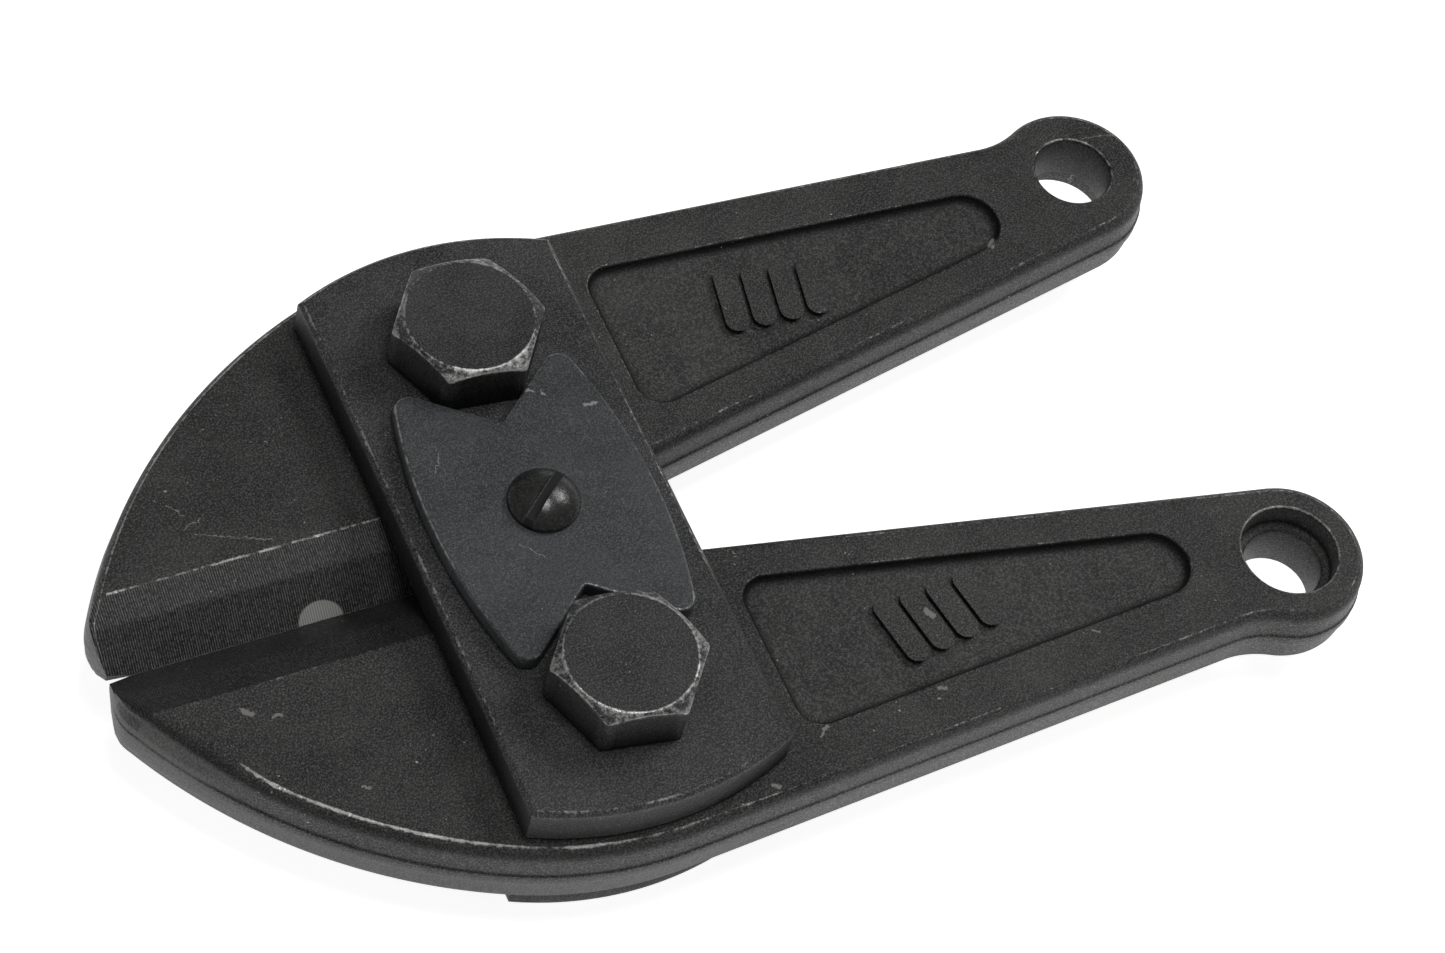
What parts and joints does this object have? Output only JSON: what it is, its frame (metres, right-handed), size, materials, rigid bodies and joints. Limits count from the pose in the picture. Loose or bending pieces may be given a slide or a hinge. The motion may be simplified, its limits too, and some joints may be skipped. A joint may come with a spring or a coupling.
{
  "type": "bolt cutter head",
  "caption": "Bolt cutter cutting head: forged jaws pivoting on shoulder bolts between clamp straps, with a notched lock plate over the bolt heads.",
  "frame": {"origin": "centre of the head's footprint at the back face of the rear strap, which it stands on", "axes": "+X along the head from the blade tips to the handle tails, +Y towards the upper jaw, +Z through the pivots towards the bolt heads"},
  "size_m": [0.2013, 0.1128, 0.0381],
  "materials": {
    "jaw_steel": "forged and black oxide coated, bright where the coating is worn off the edges",
    "strap_steel": "black oxide, satin, worn at the edges",
    "bolt_steel": "black oxide with bright worn chamfers",
    "plate_steel": "bluish black oxide, satin",
    "screw_steel": "glossy black oxide"
  },
  "bodies": {
    "frame": {"strap_rear": "strap_steel", "strap_front": "strap_steel", "pivot_bolt_upper": "bolt_steel", "pivot_bolt_lower": "bolt_steel", "lock_plate": "plate_steel", "lock_screw": "screw_steel"},
    "upper_jaw": {"jaw_upper": "jaw_steel"},
    "lower_jaw": {"jaw_lower": "jaw_steel"}
  },
  "joints": [
    {"name": "jaw_upper_pivot", "type": "hinge", "parent": "frame", "child": "upper_jaw", "pos_m": [-0.02975, 0.03225, 0.01445], "axis": [0, 0, -1], "range_deg": [0, 12]},
    {"name": "jaw_lower_pivot", "type": "hinge", "parent": "frame", "child": "lower_jaw", "pos_m": [-0.02975, -0.03225, 0.01445], "axis": [0, 0, 1], "range_deg": [0, 12]}
  ]
}
